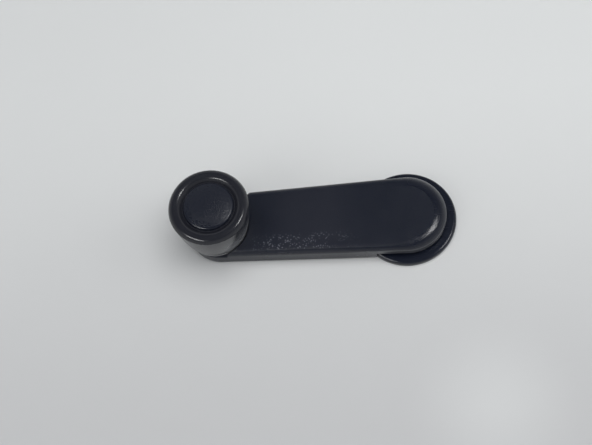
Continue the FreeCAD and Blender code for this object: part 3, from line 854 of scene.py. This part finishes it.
# %% Sweeping recipe
sweeping, given, result = new_recipe("swept_piece", [
    ("Bar wide", "NodeSocketFloat"), ("Bar high", "NodeSocketFloat"),
    ("Bar corner", "NodeSocketFloat"), ("Finish", "NodeSocketMaterial")])
tree = sweeping
path = node(tree, "GeometryNodeMeshToCurve", {0: given["Geometry"]}).outputs[0]
path = node(tree, "GeometryNodeSetCurveNormal", {0: path}, mode="Z_UP").outputs[0]
bar = node(tree, "GeometryNodeCurvePrimitiveQuadrilateral", {
    "Width": given["Bar wide"], "Height": given["Bar high"]}).outputs[0]
bar = node(tree, "GeometryNodeFilletCurve", {
    0: bar, "Count": 5, "Radius": given["Bar corner"], "Limit Radius": True}, mode="POLY").outputs[0]
swept = node(tree, "GeometryNodeCurveToMesh", {0: path, 1: bar, "Fill Caps": True}).outputs[0]
finish_recipe(tree, result, swept, given["Finish"])


def arc_points(center, radius, start, end, steps, height):
    """Points of a level arc, in mm and degrees."""
    angles = [math.radians(start + (end - start) * i / steps) for i in range(steps + 1)]
    return [((center + radius * math.cos(a)) * MM, radius * math.sin(a) * MM, height * MM)
            for a in angles]


# %% [markdown]
# ## The retaining clip
# The clip is one hairpin of spring wire. Its legs pass through slots in the hub boss and grip the
# groove of the spindle, and its bight is what a tool pulls to free the handle. A Bezier curve could
# be bent to it by hand, but two straight legs and a half circle give the path exactly. Each leg has
# even steps, so that the wire's faces are even too.

# %% Retaining clip
WIRE, CLIP_HEIGHT, LEG_TIP, LEG_SIDE, BIGHT, LEG_STEPS = 1.5, 3.95, -9.4, 4.95, 8.4, 12

leg = [LEG_TIP + (BIGHT - LEG_TIP) * i / LEG_STEPS for i in range(LEG_STEPS)]
hairpin = ([(x * MM, -LEG_SIDE * MM, CLIP_HEIGHT * MM) for x in leg]
           + arc_points(BIGHT, LEG_SIDE, -90, 90, 32, CLIP_HEIGHT)
           + [(x * MM, LEG_SIDE * MM, CLIP_HEIGHT * MM) for x in reversed(leg)])
clip = follow_recipe("clip_wire", [hairpin], sweeping, {
    "Bar wide": WIRE * MM, "Bar high": WIRE * MM, "Bar corner": WIRE / 2 * MM,
    "Finish": spring_steel})
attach(clip, "retaining_clip")
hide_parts("retaining_clip")

# %% [markdown]
# ## The cap's fingers
# Under the cap a thin skirt, slit in four, grips the knob's pocket. The slits could be cut from a
# ring with a boolean. Four short arcs say the same more simply: what is left standing is swept, and
# what is slit is never made.

# %% Cap fingers
FINGER_COUNT, FINGER_FROM, FINGER_TO, FINGER_TOP = 4, 9, 81, CAP_FOOT - 0.2
AXIS_MM = KNOB_AXIS[0] / MM
BAR_CORNER = 0.2

pitch = 360 // FINGER_COUNT
arcs = [arc_points(AXIS_MM, SKIRT_RADIUS - SKIRT_WALL / 2, FINGER_FROM + pitch * i,
                   FINGER_TO + pitch * i, 24, (SKIRT_FOOT + FINGER_TOP) / 2)
        for i in range(FINGER_COUNT)]
fingers = follow_recipe("cap_fingers", arcs, sweeping, {
    "Bar wide": SKIRT_WALL * MM, "Bar high": (FINGER_TOP - SKIRT_FOOT) * MM,
    "Bar corner": BAR_CORNER * MM, "Finish": cap_plastic})
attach(fingers, "knob")

# %% [markdown]
# ## The knob's webs
# Six webs tie the knob's hub to its wall, because a thick solid knob would sink as it cools in the
# mould. They could be copied with an Array modifier about an empty. Here they are spokes worked out
# at even angles, one bar each, from inside the hub to the foot of the wall.

# %% Knob webs
WEB_COUNT, WEB_THICK, WEB_LOW, WEB_HIGH = 6, 1.4, 8.9, 18.0
WEB_RADII = (7.0, 9.0, 11.0, 13.2)

spokes = []
for i in range(WEB_COUNT):
    heading = math.radians(360 / WEB_COUNT * i)
    spokes.append([((AXIS_MM + r * math.cos(heading)) * MM, r * math.sin(heading) * MM,
                    (WEB_LOW + WEB_HIGH) / 2 * MM) for r in WEB_RADII])
webs = follow_recipe("knob_webs", spokes, sweeping, {
    "Bar wide": WEB_THICK * MM, "Bar high": (WEB_HIGH - WEB_LOW) * MM,
    "Bar corner": BAR_CORNER * MM, "Finish": knob_plastic})
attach(webs, "knob")

# %% [markdown]
# ## The other solids
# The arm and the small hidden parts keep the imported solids' meshes: the arm, because its rounded
# edges are already fine enough, and the rings, because nobody sees them. They could be remodelled,
# but a good mesh is left alone. They only get their finishes, in the slots that they came with.

# %% Dress the carried-over solids
dress = {
    "arm": arm_plastic, "knob_shell": knob_plastic, "knob_cap": cap_plastic,
    "escutcheon": escutcheon_plastic, "spline_insert": sintered_steel, "knob_pin": pin_steel,
    "rivet_washer": pin_steel, "retaining_clip": spring_steel, "wave_washer": spring_steel,
    "push_nut": spring_steel, "knob_bush": bush_plastic, "thrust_washer": washer_plastic,
}
for name, finish in dress.items():
    for slot in nodes[name].material_slots:
        slot.material = finish
print("dressed", len(dress), "solids")
